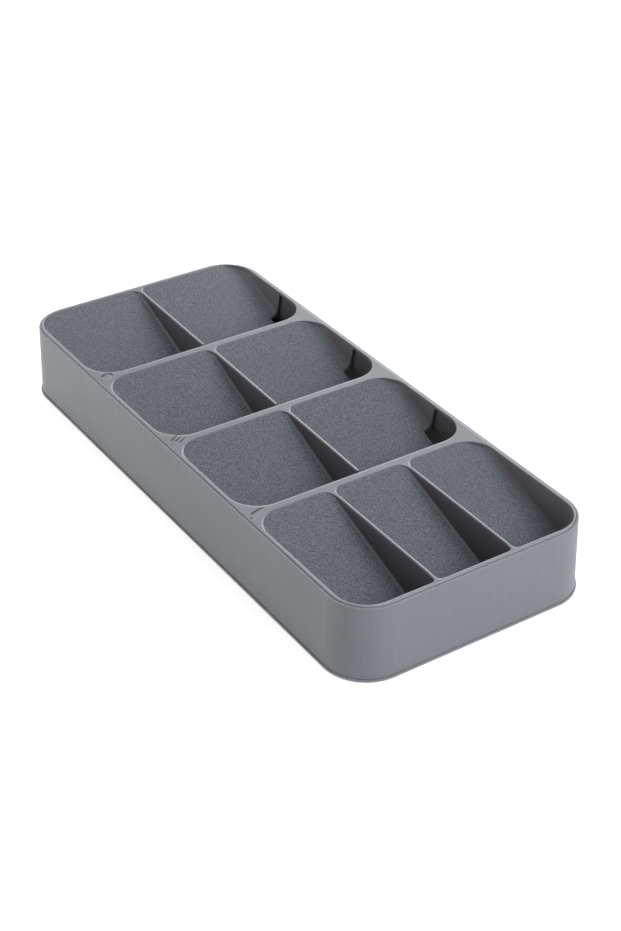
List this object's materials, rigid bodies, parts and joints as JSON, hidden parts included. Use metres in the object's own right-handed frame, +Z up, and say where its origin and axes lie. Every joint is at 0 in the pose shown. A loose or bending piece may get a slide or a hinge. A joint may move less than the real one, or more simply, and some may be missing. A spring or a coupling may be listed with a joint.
{
  "type": "cutlery tray",
  "caption": "Long drawer tray with tiers of sloping, overlapping cutlery pockets in a drafted outer shell on a base plate with rubber feet.",
  "frame": {"origin": "on the ground under the middle of the tray", "axes": "+Y along the length towards the back tier, +Z up, +X to the right when seen from the front tier"},
  "size_m": [0.1724, 0.4, 0.0505],
  "materials": {
    "insert_plastic": "fine spark-eroded grain",
    "shell_plastic": "satin with a fine grain",
    "base_plastic": "fine grain",
    "foot_rubber": "soft matt rubber"
  },
  "bodies": {
    "root": {"rim_deck": "insert_plastic", "outer_shell": "shell_plastic", "base_plate": "base_plastic", "tier_scoop_1": "insert_plastic", "tier_scoop_2": "insert_plastic", "tier_scoop_3": "insert_plastic", "tier_scoop_4": "insert_plastic", "foot_1": "foot_rubber", "foot_2": "foot_rubber", "foot_3": "foot_rubber", "foot_4": "foot_rubber", "foot_5": "foot_rubber", "foot_6": "foot_rubber"}
  },
  "joints": []
}
